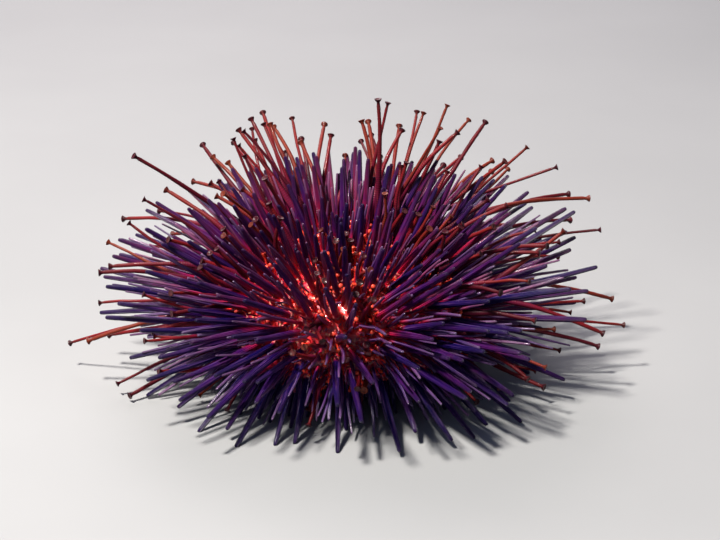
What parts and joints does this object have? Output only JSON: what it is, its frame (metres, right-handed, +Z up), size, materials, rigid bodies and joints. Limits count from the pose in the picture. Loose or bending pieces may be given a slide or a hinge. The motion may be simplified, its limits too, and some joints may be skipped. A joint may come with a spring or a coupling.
{
  "type": "sea urchin",
  "caption": "Life-size purple sea urchin resting on its lowest spines, with radiating spines and long red tube feet.",
  "frame": {"origin": "on the floor plane, under the middle of the whole box that the spines and tube feet fill", "axes": "+Z up along the axis from mouth to vent, -Y towards the viewer of the picture, +X to the viewer's right"},
  "size_m": [0.1112, 0.114, 0.0587],
  "materials": {
    "spine": "fine-ribbed calcite, wet sheen",
    "test_skin": "wet skin over knobbed plates",
    "tube_foot": "moist, translucent",
    "mouth_membrane": "soft folded skin",
    "tooth": "polished calcite"
  },
  "bodies": {
    "root": {"ambulacrum_1": "spine", "ambulacrum_2": "spine", "ambulacrum_3": "spine", "ambulacrum_4": "spine", "ambulacrum_5": "spine", "interambulacrum_1": "spine", "interambulacrum_2": "spine", "interambulacrum_3": "spine", "interambulacrum_4": "spine", "interambulacrum_5": "spine", "apical_disc": "test_skin", "peristome": "mouth_membrane"}
  },
  "joints": []
}
